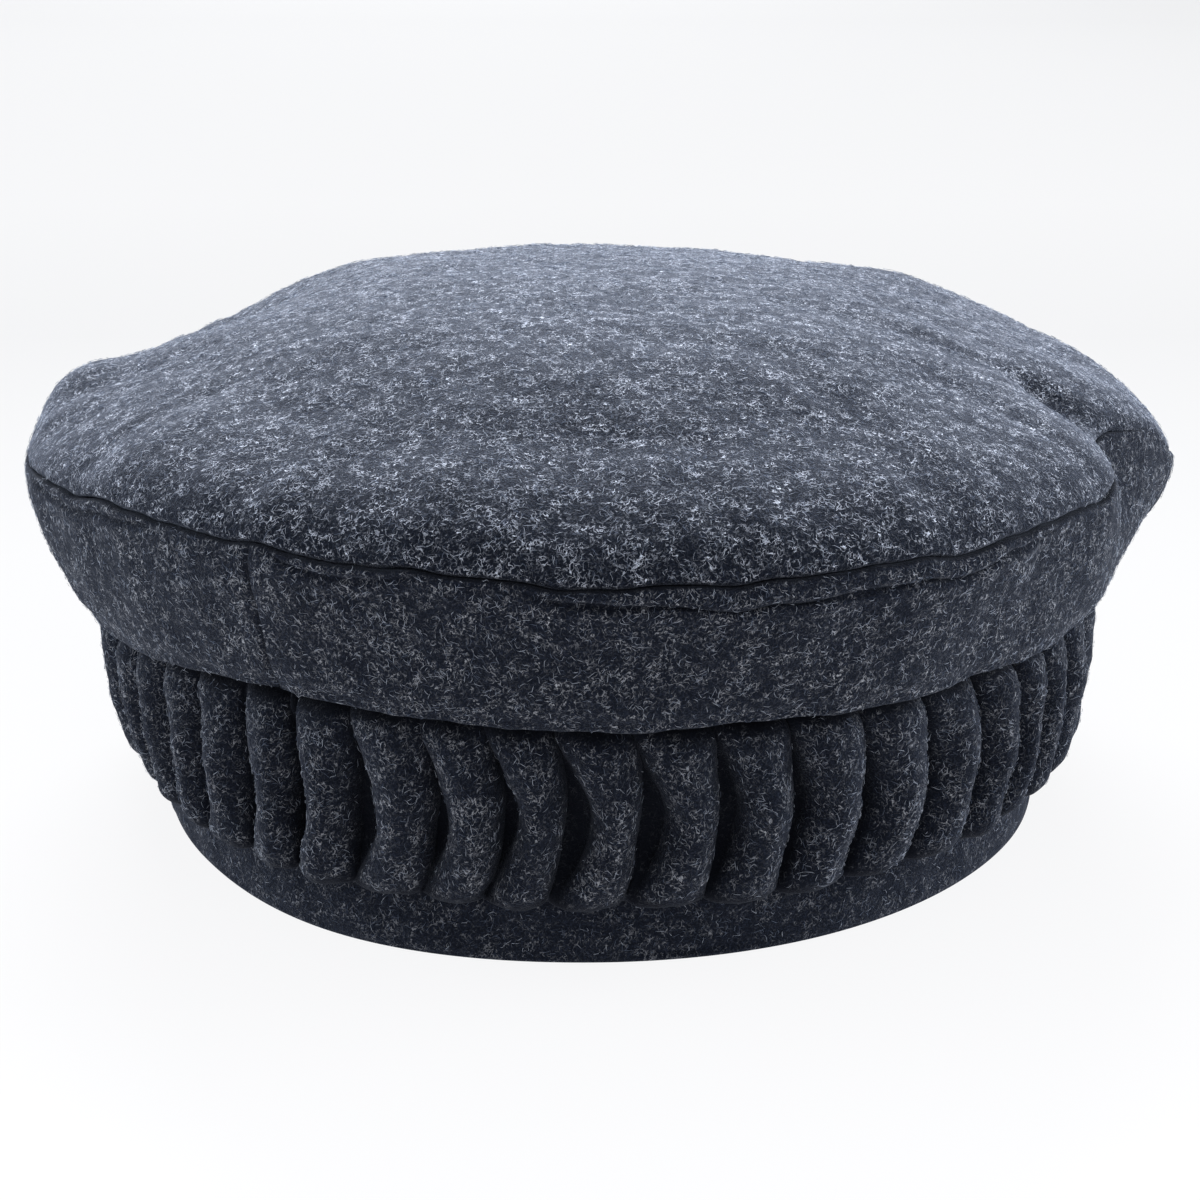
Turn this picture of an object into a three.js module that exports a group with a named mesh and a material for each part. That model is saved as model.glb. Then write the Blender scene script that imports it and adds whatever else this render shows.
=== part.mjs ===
// A pakol: a soft round wool cap with a flat crown, a side strip that overhangs like a cuff,
// a band of deep pleats below it and a plain head band. Millimetres, +Z up.
// The cap rests on its head band, and its front faces -Y. An azimuth of 0 is the front,
// and 90 is the wearer's left (+X).
import * as THREE from "three";

// Driving dimensions
const HEAD_RADIUS = 94; // a head of 59 cm round
const CLOTH = 2; // one layer of the wool cloth
const BAND_FOLD = 3; // the head band is two layers, pressed
const BAND_HEIGHT = 14.3;
const FOLD_ROUNDING = 0.5; // at the flattened fold that the cap rests on
const CAP_HEIGHT = 106.5; // to the top of the crown's dome
const SEWN_GAP = 0.3; // between two pieces that are sewn together
const EDGE_RADIUS = 108.4; // of the side strip's lower edge, at the front
const EDGE_HEIGHT = 51;

// How finely the round pieces are cut
const ROUND = 84;

const WOOL = { color: 0x2b3340, roughness: 0.95, metalness: 0 };

// The soft cap isn't a true circle anywhere. Going round it: the seam under the crown,
// the side strip's lower edge, how far the strip bellies out halfway up, and how far the
// head band is pushed out.
const SHAPE_ROUND = [
  { azimuth: -180, seam: 115, seamHeight: 79, edge: 108, edgeHeight: 50, belly: 0, head: 0 },
  { azimuth: -150, seam: 115.5, seamHeight: 79, edge: 108, edgeHeight: 49.5, belly: 0, head: 0 },
  { azimuth: -120, seam: 114.5, seamHeight: 76, edge: 107.5, edgeHeight: 48, belly: 1, head: -1 },
  { azimuth: -95, seam: 116.5, seamHeight: 75, edge: 108.2, edgeHeight: 46.5, belly: 1.5, head: -2 },
  { azimuth: -75, seam: 117, seamHeight: 75.5, edge: 108.2, edgeHeight: 46.5, belly: 1.5, head: -3 },
  { azimuth: -55, seam: 113.5, seamHeight: 79, edge: 107.5, edgeHeight: 48.5, belly: 0.5, head: -1.5 },
  { azimuth: -30, seam: 113, seamHeight: 80.5, edge: 108.4, edgeHeight: 51.5, belly: 0, head: 1.5 },
  { azimuth: 0, seam: 112.5, seamHeight: 78.3, edge: 108.4, edgeHeight: 51, belly: 0, head: 0 },
  { azimuth: 30, seam: 113.5, seamHeight: 78.4, edge: 108.4, edgeHeight: 50.5, belly: 0, head: 0 },
  { azimuth: 50, seam: 112, seamHeight: 77.5, edge: 108.4, edgeHeight: 50.3, belly: 0, head: 0 },
  { azimuth: 63, seam: 111.5, seamHeight: 77, edge: 108.4, edgeHeight: 50, belly: 1, head: 0 },
  { azimuth: 73, seam: 104.5, seamHeight: 80.5, edge: 108.5, edgeHeight: 49.7, belly: 2, head: -0.5 },
  { azimuth: 82, seam: 113.5, seamHeight: 78, edge: 110, edgeHeight: 49.3, belly: 3, head: -1.3 },
  { azimuth: 91, seam: 123, seamHeight: 69.5, edge: 111.3, edgeHeight: 49, belly: 3, head: -2 },
  { azimuth: 104, seam: 122.5, seamHeight: 71.5, edge: 110.8, edgeHeight: 49, belly: 3, head: -2 },
  { azimuth: 125, seam: 118.5, seamHeight: 75.5, edge: 108, edgeHeight: 49, belly: 1, head: -1 },
  { azimuth: 150, seam: 115, seamHeight: 77.5, edge: 108, edgeHeight: 50, belly: 0, head: 0 },
  { azimuth: 180, seam: 115, seamHeight: 79, edge: 108, edgeHeight: 50, belly: 0, head: 0 },
];

// Soft humps and hollows of the crown: middle, height, size along and across, turn from +X.
const CROWN_DENTS = [
  { x: 94, y: -32, lift: -4.5, along: 14, across: 5, turn: -42 },
  { x: 74, y: -7, lift: -1.5, along: 20, across: 6, turn: -32 },
  { x: 74, y: 44, lift: 3, along: 26, across: 16, turn: 25 },
  { x: -88, y: 42, lift: -5, along: 26, across: 16, turn: -50 },
  { x: -112, y: -2, lift: 6, along: 24, across: 9, turn: 85 },
  { x: -64, y: 62, lift: 2, along: 24, across: 14, turn: -40 },
  { x: 108, y: 18, lift: 4, along: 20, across: 9, turn: 100 },
];

// The crown's section, from the rim to the middle: shares of its radius.
const CROWN_OUTSIDE = [1, 0.975, 0.94, 0.89, 0.82, 0.72, 0.58, 0.42, 0.22, 0];
const CROWN_INSIDE = [1, 0.95, 0.86, 0.7, 0.45, 0];
const CROWN_FULLNESS = 2.6; // a dome of 2 would be a plain arc
const CROWN_SHOULDER = 0.92;

// The side strip's section: a share of the way up from its edge to the seam,
// and how far out and up from there. Its lower edge is turned in above the pleats.
const STRIP_OUTSIDE = [
  { share: 0, out: -6.6, up: 4 },
  { share: 0, out: -3, up: 1.4 },
  { share: 0, out: -1, up: 0 },
  { share: 0, out: 0, up: 0.8 },
  { share: 0.3, out: 0.9, up: 0 },
  { share: 0.65, out: 1.2, up: 0 },
  { share: 0.92, out: 0.5, up: 0 },
  { share: 1, out: -0.4, up: 0 },
];
const STRIP_INSIDE = [
  { share: 1, out: -CLOTH, up: 0 },
  { share: 0.65, out: 1.2 - CLOTH, up: 0 },
  { share: 0.3, out: 0.9 - CLOTH, up: 0 },
  { share: 0, out: -2.6, up: 3.6 },
  { share: 0, out: -6.6, up: 6 },
];

// The pleats whose middles show at the front, and how far each is pushed to the wearer's left
// at half its height. The rest of them, out of sight, are even.
const FRONT_PLEATS = [
  { middle: -61, push: 1 },
  { middle: -55, push: 1 },
  { middle: -48.5, push: 1 },
  { middle: -42, push: 1.5 },
  { middle: -34, push: 1.5 },
  { middle: -28, push: 2 },
  { middle: -19, push: 3.5 },
  { middle: -11.5, push: 4.5 },
  { middle: -5, push: 5.5 },
  { middle: 2, push: 5 },
  { middle: 10, push: 3.5 },
  { middle: 17.5, push: 3 },
  { middle: 25, push: 3 },
  { middle: 33, push: 3 },
  { middle: 41, push: 3 },
  { middle: 48.5, push: 3 },
  { middle: 54, push: 2.5 },
  { middle: 60.5, push: 2.5 },
  { middle: 67.5, push: 2 },
];
const OTHER_PLEATS = 30;
const OTHER_PUSH = 2;

// Across one pleat, from the valley before it to the valley after it: a share of the way,
// and a share of the fold's depth, for the outside and then for the inside of the cloth.
const PLEAT_SECTION = [
  { along: 0, rise: 0, inAlong: 0, inRise: 0 },
  { along: 0.12, rise: 0.62, inAlong: 0.24, inRise: 0 },
  { along: 0.34, rise: 1, inAlong: 0.38, inRise: 1 },
  { along: 0.66, rise: 1, inAlong: 0.62, inRise: 1 },
  { along: 0.88, rise: 0.62, inAlong: 0.76, inRise: 0 },
];

// Down the pleats, outside and then inside: the reach of their crests, how deep the folds are,
// and how much of its push each lacks.
const PLEAT_OUTSIDE = [
  { height: BAND_HEIGHT + SEWN_GAP, reach: 98, depth: 1.2, lack: 1.2 },
  { height: 13.2, reach: 101, depth: 3, lack: 1.1 },
  { height: 17, reach: 104.2, depth: 6, lack: 0.8 },
  { height: 25, reach: 106, depth: 7, lack: 0.2 },
  { height: 34, reach: 106.8, depth: 7, lack: 0 },
  { height: 45, reach: 106.4, depth: 5.5, lack: 0.6 },
  { height: 54.2, reach: 102.2, depth: 2.5, lack: 1 },
];
const PLEAT_INSIDE = [
  { height: 54.2, reach: 98, depth: 0, lack: 1 },
  { height: 42, reach: 103.2, depth: 5.5, lack: 0.4 },
  { height: 24, reach: 102.4, depth: 5.5, lack: 0.2 },
  { height: BAND_HEIGHT + SEWN_GAP, reach: 94.6, depth: 0, lack: 1.2 },
];

// A smooth closed curve through one column of SHAPE_ROUND, read at any azimuth.
function roundCurve(column) {
  const azimuths = SHAPE_ROUND.map((row) => row.azimuth);
  const values = SHAPE_ROUND.map((row) => row[column]);
  const curve = new THREE.CubicInterpolant(azimuths, values, 1);
  curve.settings = { endingStart: THREE.WrapAroundEnding, endingEnd: THREE.WrapAroundEnding };
  return (azimuth) => curve.evaluate(THREE.MathUtils.euclideanModulo(azimuth + 180, 360) - 180)[0];
}

const seamRadius = roundCurve("seam");
const seamHeight = roundCurve("seamHeight");
const edgeRadius = roundCurve("edge");
const edgeHeight = roundCurve("edgeHeight");
const belly = roundCurve("belly");
const headPush = roundCurve("head");

// A smooth bump that is 1 at its middle, and near 0 beyond twice its spread.
const bump = (away, spread) => Math.exp(-((away / spread) ** 2));

function crownDent(x, y) {
  let lift = 0;
  for (const dent of CROWN_DENTS) {
    const turn = THREE.MathUtils.degToRad(dent.turn);
    const along = (x - dent.x) * Math.cos(turn) + (y - dent.y) * Math.sin(turn);
    const across = (y - dent.y) * Math.cos(turn) - (x - dent.x) * Math.sin(turn);
    lift += dent.lift * bump(along, dent.along) * bump(across, dent.across);
  }
  return lift;
}

// A turned solid of as many rows as its section has, and of the given columns. Each vertex
// goes where place(row, azimuth, column) puts it: a radius, a height and an azimuth.
function turned(rows, columns, place) {
  const section = rows.map((row, i) => new THREE.Vector2(1, i));
  const geometry = new THREE.LatheGeometry(section, columns);
  const position = geometry.getAttribute("position");
  for (let i = 0; i < position.count; i++) {
    const column = Math.floor(i / rows.length) % columns;
    const spot = place(rows[i % rows.length], (column * 360) / columns, column);
    const turn = THREE.MathUtils.degToRad(spot.azimuth);
    position.setXYZ(i, spot.radius * Math.sin(turn), -spot.radius * Math.cos(turn), spot.height);
  }
  return geometry;
}

const closed = (rows) => [...rows, rows[0]];

// The crown is a domed disc, hollow below, that springs from the seam.
function crownTop() {
  const inside = CROWN_INSIDE.map((share) => ({ share, wall: CLOTH }));
  const outside = CROWN_OUTSIDE.map((share) => ({ share, wall: 0 }));
  return turned([...inside.reverse(), ...outside], ROUND, ({ share, wall }, azimuth) => {
    const full = (1 - share ** CROWN_FULLNESS) ** CROWN_SHOULDER;
    const radius = (seamRadius(azimuth) - wall) * share;
    const turn = THREE.MathUtils.degToRad(azimuth);
    const dent = crownDent(radius * Math.sin(turn), -radius * Math.cos(turn));
    const foot = seamHeight(azimuth) + SEWN_GAP;
    const rise = CAP_HEIGHT - wall - foot;
    return { radius, height: foot + rise * full + dent * Math.min(1, 3 * full), azimuth };
  });
}

// The side strip hangs from the seam.
function crownSide() {
  return turned(closed([...STRIP_OUTSIDE, ...STRIP_INSIDE]), ROUND, (row, azimuth) => ({
    radius: THREE.MathUtils.lerp(edgeRadius(azimuth), seamRadius(azimuth), row.share) + row.out +
      belly(azimuth) * Math.sin(Math.PI * row.share),
    height: THREE.MathUtils.lerp(edgeHeight(azimuth), seamHeight(azimuth), row.share) + row.up,
    azimuth,
  }));
}

function allPleats() {
  const first = FRONT_PLEATS[0].middle + 360;
  const last = FRONT_PLEATS.at(-1).middle;
  const others = Array.from({ length: OTHER_PLEATS }, (_, i) => ({
    middle: THREE.MathUtils.lerp(last, first, (i + 1) / (OTHER_PLEATS + 1)),
    push: OTHER_PUSH,
  }));
  return [...FRONT_PLEATS, ...others];
}

// The pleated band is drawn in at both ends, under the strip and over the head band.
function pleatedBand() {
  const pleats = allPleats();
  const steps = PLEAT_SECTION.length;
  const outside = PLEAT_OUTSIDE.map((row) => ({ ...row, along: "along", rise: "rise" }));
  const inside = PLEAT_INSIDE.map((row) => ({ ...row, along: "inAlong", rise: "inRise" }));
  return turned(closed([...outside, ...inside]), pleats.length * steps, (row, _, column) => {
    const here = Math.floor(column / steps);
    const pleat = pleats[here];
    const before = here > 0 ? pleats[here - 1].middle : pleats.at(-1).middle - 360;
    const after = pleats[here + 1]?.middle ?? pleats[0].middle + 360;
    const step = PLEAT_SECTION[column % steps];
    const valley = (before + pleat.middle) / 2;
    const along = valley + (step[row.along] * (after - before)) / 2;
    const azimuth = along - THREE.MathUtils.radToDeg((pleat.push * row.lack) / row.reach);
    const upShare = Math.max(0, row.height - BAND_HEIGHT) / (EDGE_HEIGHT - BAND_HEIGHT);
    const pushedOut = edgeRadius(azimuth) - EDGE_RADIUS;
    return {
      radius: row.reach - row.depth * (1 - step[row.rise]) +
        THREE.MathUtils.lerp(headPush(azimuth), pushedOut, upShare),
      height: row.height + (edgeHeight(azimuth) - EDGE_HEIGHT) * upShare,
      azimuth,
    };
  });
}

// The head band is a strip of cloth folded in two, with its fold on the table.
function headBand() {
  const outer = HEAD_RADIUS + BAND_FOLD;
  const rows = [
    { radius: HEAD_RADIUS + FOLD_ROUNDING, height: 0 },
    { radius: outer - FOLD_ROUNDING, height: 0 },
    { radius: outer, height: 0.9 },
    { radius: outer - 0.2, height: BAND_HEIGHT / 2 },
    { radius: outer - 0.7, height: BAND_HEIGHT },
    { radius: HEAD_RADIUS + 0.3, height: BAND_HEIGHT },
    { radius: HEAD_RADIUS, height: BAND_HEIGHT / 2 },
    { radius: HEAD_RADIUS, height: 0.9 },
  ];
  return turned(closed(rows), ROUND, ({ radius, height }, azimuth) => ({
    radius: radius + headPush(azimuth),
    height,
    azimuth,
  }));
}

function piece(name, geometry) {
  const mesh = new THREE.Mesh(geometry, new THREE.MeshStandardMaterial(WOOL));
  mesh.name = name;
  return mesh;
}

const pakol = new THREE.Group();
pakol.add(
  piece("crown_top", crownTop()),
  piece("crown_side", crownSide()),
  piece("pleated_band", pleatedBand()),
  piece("head_band", headBand()),
);

// The origin is the middle of the cap's outline, in the plane that it rests on.
const middle = new THREE.Box3().setFromObject(pakol, true).getCenter(new THREE.Vector3());
pakol.position.set(-middle.x, -middle.y, 0);

export default pakol;
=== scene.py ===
"""A pakol in heathered wool cloth: domed crown, side strip, deep pleats and head band.

Sizes in the tables are in millimetres, and every mesh is made in metres. An azimuth of 0 is the
front of the cap (-Y), and 90 is the wearer's left (+X).
"""
import math

import bpy
import numpy as np
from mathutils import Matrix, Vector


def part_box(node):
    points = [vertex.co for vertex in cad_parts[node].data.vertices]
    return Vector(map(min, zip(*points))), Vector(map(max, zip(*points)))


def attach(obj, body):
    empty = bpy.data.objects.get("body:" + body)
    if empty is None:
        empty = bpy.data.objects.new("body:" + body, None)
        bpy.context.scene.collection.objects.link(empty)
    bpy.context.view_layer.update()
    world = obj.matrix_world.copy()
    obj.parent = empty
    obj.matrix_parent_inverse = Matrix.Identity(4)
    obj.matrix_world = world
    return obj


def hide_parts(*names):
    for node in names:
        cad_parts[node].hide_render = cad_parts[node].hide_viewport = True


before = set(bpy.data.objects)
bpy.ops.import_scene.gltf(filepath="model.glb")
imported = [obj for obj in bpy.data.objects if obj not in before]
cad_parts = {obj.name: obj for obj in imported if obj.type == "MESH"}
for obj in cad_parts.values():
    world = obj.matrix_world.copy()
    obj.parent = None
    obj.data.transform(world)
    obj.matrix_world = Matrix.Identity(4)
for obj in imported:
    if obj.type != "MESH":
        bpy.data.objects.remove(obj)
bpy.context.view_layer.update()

MM = 0.001

# The cap's driving sizes
HEAD_RADIUS = 94
BAND_HEIGHT = 14.3
CAP_HEIGHT = 106.5
CLOTH = 2
SEWN_GAP = 0.3
EDGE_RADIUS = 108.4
EDGE_HEIGHT = 51

# The soft cap isn't a true circle anywhere. Going round it: the seam under the crown,
# the side strip's lower edge, its belly, and how far the head band is pushed out.
SHAPE_COLUMNS = ("azimuth", "seam", "seam_height", "edge", "edge_height", "belly", "head")
SHAPE_ROUND = [
    (-180, 115, 79, 108, 50, 0, 0),
    (-150, 115.5, 79, 108, 49.5, 0, 0),
    (-120, 114.5, 76, 107.5, 48, 1, -1),
    (-95, 116.5, 75, 108.2, 46.5, 1.5, -2),
    (-75, 117, 75.5, 108.2, 46.5, 1.5, -3),
    (-55, 113.5, 79, 107.5, 48.5, 0.5, -1.5),
    (-30, 113, 80.5, 108.4, 51.5, 0, 1.5),
    (0, 112.5, 78.3, 108.4, 51, 0, 0),
    (30, 113.5, 78.4, 108.4, 50.5, 0, 0),
    (50, 112, 77.5, 108.4, 50.3, 0, 0),
    (63, 111.5, 77, 108.4, 50, 1, 0),
    (73, 104.5, 80.5, 108.5, 49.7, 2, -0.5),
    (82, 113.5, 78, 110, 49.3, 3, -1.3),
    (91, 123, 69.5, 111.3, 49, 3, -2),
    (104, 122.5, 71.5, 110.8, 49, 3, -2),
    (125, 118.5, 75.5, 108, 49, 1, -1),
    (150, 115, 77.5, 108, 50, 0, 0),
    (180, 115, 79, 108, 50, 0, 0),
]

# Soft humps and hollows of the crown: middle, height, size along and across, turn from +X.
DENT_COLUMNS = ("x", "y", "lift", "along", "across", "turn")
CROWN_DENTS = [
    (94, -32, -4.5, 14, 5, -42),
    (74, -7, -1.5, 20, 6, -32),
    (74, 44, 3, 26, 16, 25),
    (-88, 42, -5, 26, 16, -50),
    (-112, -2, 6, 24, 9, 85),
    (-64, 62, 2, 24, 14, -40),
    (108, 18, 2.5, 20, 9, 100),
    (-108, 22, -6.5, 17, 11, 78),
    (72, 72, -2.4, 22, 14, -46),
]
DENT_GROWTH = 3  # how fast they grow from nothing at the rim
CROWN_FULLNESS = 2.6
CROWN_SHOULDER = 0.92

# The pleats that show at the front: middle, push to the wearer's left at half height,
# and how far the valley after it stands open there.
FRONT_PLEATS = [
    (-61, 1, 1.2),
    (-55, 1, 1.4),
    (-48.5, 1, 1.8),
    (-42, 1.5, 2.2),
    (-34, 1.5, 2.2),
    (-28, 2, 3.2),
    (-19, 3.5, 2.6),
    (-11.5, 4.5, 2.2),
    (-5, 5.5, 4.2),
    (2, 5, 4.2),
    (10, 4.4, 3.1),
    (17.5, 3.9, 2.5),
    (25, 3.9, 2.1),
    (33, 3.9, 1.9),
    (41, 3.9, 1.6),
    (48.5, 3.9, 1.3),
    (54, 2.5, 1.2),
    (60.5, 2.5, 1.2),
    (67.5, 2, 1.2),
]
OTHER_PLEATS = 30
OTHER_PUSH = 2
OTHER_GAP = 2
OTHER_SPREAD = (-0.7, 0.7)
PUSH_SPREAD = (-1.5, 2)
GAP_SPREAD = (-0.6, 1.2)

# Down the pleats: height, the reach of their crests, the depth of the folds, how much of its
# push each lacks, and how far the valleys stand open.
PLEAT_OUTSIDE = [
    (BAND_HEIGHT + SEWN_GAP, 98, 0.4, 1.2, 0.0),
    (13.4, 100.4, 0.8, 1.15, 0.1),
    (14.0, 102.8, 1.8, 1, 0.2),
    (17.0, 104.9, 4.8, 0.75, 0.5),
    (25, 106.2, 7.6, 0.2, 1.0),
    (33, 107, 7.8, 0, 1.0),
    (40, 106.9, 6.8, 0.3, 0.3),
    (45.5, 106.2, 4.2, 0.65, 0.0),
    (48.4, 104.2, 2.6, 0.85, 0.0),
    (50.2, 101.6, 2, 0.95, 0.0),
    (51.4, 100.2, 1, 1, 0.0),
    (54.2, 99.6, 0.5, 1, 0.0),
]
PLEAT_INSIDE = [
    (54.2, 97.6, 0, 1, 0),
    (42, 97, 0.6, 0.4, 0),
    (24, 96, 0.6, 0.2, 0),
    (BAND_HEIGHT + SEWN_GAP, 94.6, 0, 1.2, 0),
]

# The side strip's section: a share of the way up from its edge to the seam, and how far out
# and up from there. It starts and ends inside the lip that is turned in above the pleats.
STRIP_OUTSIDE = [
    (0, -6.6, 4),
    (0, -3, 1.2),
    (0, -1.2, 0.05),
    (0, -0.2, 0.5),
    (0, 0.3, 2),
    (0.15, 0.7, 0),
    (0.3, 0.9, 0),
    (0.45, 1.1, 0),
    (0.6, 1.2, 0),
    (0.72, 1.2, 0),
    (0.82, 1.1, 0),
    (0.9, 0.95, 0),
    (0.965, 0.75, 0),
    (0.988, 0.4, 0),
    (1, -0.4, 0),
    (1, -2.2, -0.3),
]
STRIP_INSIDE = [
    (0.95, -2.6, 0),
    (0.65, -1, 0),
    (0.3, -1.3, 0),
    (0, -2.8, 3.6),
    (0, -6.6, 6),
]

# The head band's section: how far out from the head, and its height.
BAND_SECTION = [
    (0.5, 0),
    (2.5, 0),
    (3.0, 0.9),
    (3.1, 3.5),
    (2.9, 7.2),
    (2.6, 11),
    (2.0, 13.6),
    (1.2, BAND_HEIGHT),
    (0.3, BAND_HEIGHT),
    (0, 11),
    (0, 5),
    (0, 0.9),
]

rng = np.random.default_rng(7)


# Shape helpers

def lerp(low, high, share):
    return low + (high - low) * share


def smooth_step(low, high, value):
    share = np.clip((value - low) / (high - low), 0, 1)
    return share * share * (3 - 2 * share)


def bump(away, spread):
    return np.exp(-((away / spread) ** 2))


def wrapped(azimuth):
    """The azimuth from -180 up to 180."""
    return (np.asarray(azimuth, float) + 180) % 360 - 180


def even_azimuths(columns):
    return np.arange(columns) * 360 / columns


def round_curve(column):
    """A smooth closed curve through one column of SHAPE_ROUND, read at any azimuth."""
    at = np.array([row[0] for row in SHAPE_ROUND], float)
    values = np.array([row[SHAPE_COLUMNS.index(column)] for row in SHAPE_ROUND], float)
    steps = np.diff(at)
    spans = len(steps)

    def read(azimuth):
        azimuth = wrapped(azimuth)
        here = np.clip(np.searchsorted(at, azimuth, side="right") - 1, 0, spans - 1)
        p = (azimuth - at[here]) / steps[here]
        before = steps[here] / 2 / steps[here - 1]
        after = steps[here] / 2 / steps[(here + 1) % spans]
        weights = (
            before * (-p**3 + 2 * p**2 - p),
            (1 + before) * p**3 + (-1.5 - 2 * before) * p**2 + (before - 0.5) * p + 1,
            (-1 - after) * p**3 + (1.5 + after) * p**2 + 0.5 * p,
            after * (p**3 - p**2),
        )
        return sum(w * values[(here + k - 1) % spans] for k, w in enumerate(weights))

    return read


seam_radius = round_curve("seam")
seam_height_smooth = round_curve("seam_height")
edge_radius = round_curve("edge")
edge_height = round_curve("edge_height")
belly = round_curve("belly")
head_push = round_curve("head")

# The seam's ripples: how many go round the cap, and how high they are
SEAM_WAVES = [(11, 0.25), (19, 0.3), (31, 0.22), (47, 0.15), (71, 0.1)]
seam_phases = rng.uniform(0, 2 * np.pi, len(SEAM_WAVES))


def seam_height(azimuth):
    """The seam rises and dips a little where its stitches draw the cloth in."""
    turn = np.radians(azimuth)
    waves = zip(SEAM_WAVES, seam_phases)
    return seam_height_smooth(azimuth) + sum(
        lift * np.sin(around * turn + phase) for (around, lift), phase in waves)


# Where the seam lies shallow: the middle, the spread and how much of its depth is lost there.
SHALLOW_SEAM = [
    (93, 18, 1.2),
    (-88, 22, 0.6),
]


def seam_depth(azimuth):
    """How deep the seam's groove is, as a share of its depth at the front."""
    depth = 1.0
    for middle, spread, lost in SHALLOW_SEAM:
        depth = depth - lost * bump(wrapped(azimuth - middle), spread)
    return np.maximum(depth, 0)


def smooth_rows(rows, steps):
    """A Catmull-Rom curve through the rows of a table, with the given steps between rows."""
    rows = np.array(rows, float)
    padded = np.vstack([2 * rows[0] - rows[1], rows, 2 * rows[-1] - rows[-2]])
    out = []
    for i in range(len(rows) - 1):
        a, b, c, d = padded[i:i + 4]
        for p in np.arange(steps) / steps:
            out.append(0.5 * (2 * b + (c - a) * p + (2 * a - 5 * b + 4 * c - d) * p**2
                              + (3 * b - a - 3 * c + d) * p**3))
    out.append(rows[-1])
    return np.array(out)


class Ripple:
    """Smooth seeded noise in space: a sum of waves of about one wavelength."""

    def __init__(self, wavelength, waves=24):
        direction = rng.normal(size=(waves, 3))
        direction /= np.linalg.norm(direction, axis=1, keepdims=True)
        length = wavelength * rng.uniform(0.7, 1.5, size=(waves, 1))
        self.wave = direction * 2 * np.pi / length
        self.phase = rng.uniform(0, 2 * np.pi, waves)

    def __call__(self, points):
        angles = np.tensordot(points, self.wave, axes=([-1], [1])) + self.phase
        return np.sin(angles).sum(axis=-1) * math.sqrt(2 / len(self.phase))


slow_ripple = Ripple(44)
soft_ripple = Ripple(13)
fine_ripple = Ripple(4.5)


def place(radius, height, azimuth):
    """Points in millimetres about the cap's own axis."""
    turn = np.radians(azimuth)
    return np.stack(np.broadcast_arrays(
        radius * np.sin(turn), -radius * np.cos(turn), height), axis=-1)


def grid_normals(points):
    """Unit normals of a grid of rows and closed columns, facing right of the way up the rows."""
    up = np.gradient(points, axis=0)
    round_ = np.roll(points, -1, axis=1) - np.roll(points, 1, axis=1)
    normal = np.cross(round_, up)
    return normal / np.maximum(np.linalg.norm(normal, axis=-1, keepdims=True), 1e-9)


def rippled(points, slow=0.0, soft=0.0, fine=0.0, share=1.0):
    """The grid moved along its normals by noise of three sizes, in millimetres."""
    lift = slow * slow_ripple(points) + soft * soft_ripple(points) + fine * fine_ripple(points)
    return points + grid_normals(points) * (lift * share)[..., None]


head_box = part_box("head_band")
axis_x = (head_box[0][0] + head_box[1][0]) / 2
axis_y = (head_box[0][1] + head_box[1][1]) / 2


def to_metres(points):
    return np.asarray(points) * MM + np.array([axis_x, axis_y, 0.0])


# Mesh helpers

def new_object(name, points, faces, material, nap_and_shade=None, smooth=True):
    """A mesh object. faces holds one array for each number of corners, and the fifth argument is
    the nap and painted shade at each point: 1 where the cloth's fibres stand and no painted shade
    lies, lower where they lie flat and painted shade darkens the cloth."""
    mesh = bpy.data.meshes.new(name)
    corners = np.concatenate([group.ravel() for group in faces]).astype(np.int32)
    sizes = np.concatenate([np.full(len(group), group.shape[1]) for group in faces])
    starts = np.concatenate([[0], np.cumsum(sizes)[:-1]]).astype(np.int32)
    mesh.vertices.add(len(points))
    mesh.vertices.foreach_set("co", np.asarray(points, np.float32).ravel())
    mesh.loops.add(len(corners))
    mesh.loops.foreach_set("vertex_index", corners)
    mesh.polygons.add(len(sizes))
    mesh.polygons.foreach_set("loop_start", starts)
    mesh.update(calc_edges=True)
    mesh.polygons.foreach_set("use_smooth", np.full(len(sizes), smooth))
    mesh.materials.append(material)
    if nap_and_shade is not None:
        raised_and_lit = mesh.attributes.new("nap_and_shade", "FLOAT", "POINT")
        raised_and_lit.data.foreach_set("value", np.asarray(nap_and_shade, np.float32).ravel())
    mesh.validate()
    thing = bpy.data.objects.new(name, mesh)
    bpy.context.scene.collection.objects.link(thing)
    return thing


def ring_faces(rows, columns, closed):
    """Quads of a grid whose columns go all the way round, and whose rows may too."""
    last = rows if closed else rows - 1
    r, c = np.meshgrid(np.arange(last), np.arange(columns), indexing="ij")
    above, beside = (r + 1) % rows, (c + 1) % columns
    return np.stack([r * columns + c, r * columns + beside,
                     above * columns + beside, above * columns + c], axis=-1).reshape(-1, 4)


def dress(thing, node):
    """The piece stands for its CAD node, and rides where that rides."""
    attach(thing, "root")
    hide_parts(node)


# Crown

CROWN_COLUMNS = 420
CROWN_RIM_ROWS = 10
CROWN_ROWS = 86
CROWN_INNER_ROWS = 14
CROWN_INNER_RIM = 0.955
CROWN_ROLL = 2.8  # the rim's cloth rolls over into the seam
CROWN_ROLL_SHARE = 0.055  # in this share of the radius
ROLL_GROWS = (0.7, 0.95)  # and stands out from the dome more and more between these shares
SEAM_NOTCH = 0.6  # how far the edge is drawn in at the seam, and over what height
NOTCH_HEIGHT = 0.45
SEAM_TUCK = 2.2  # how deep the cloth goes into the seam
TUCK_ROWS = [(SEAM_TUCK + 0.6, 0.3), (SEAM_TUCK, 0), (1.7, -0.1)]  # how far in, and how far up
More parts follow.
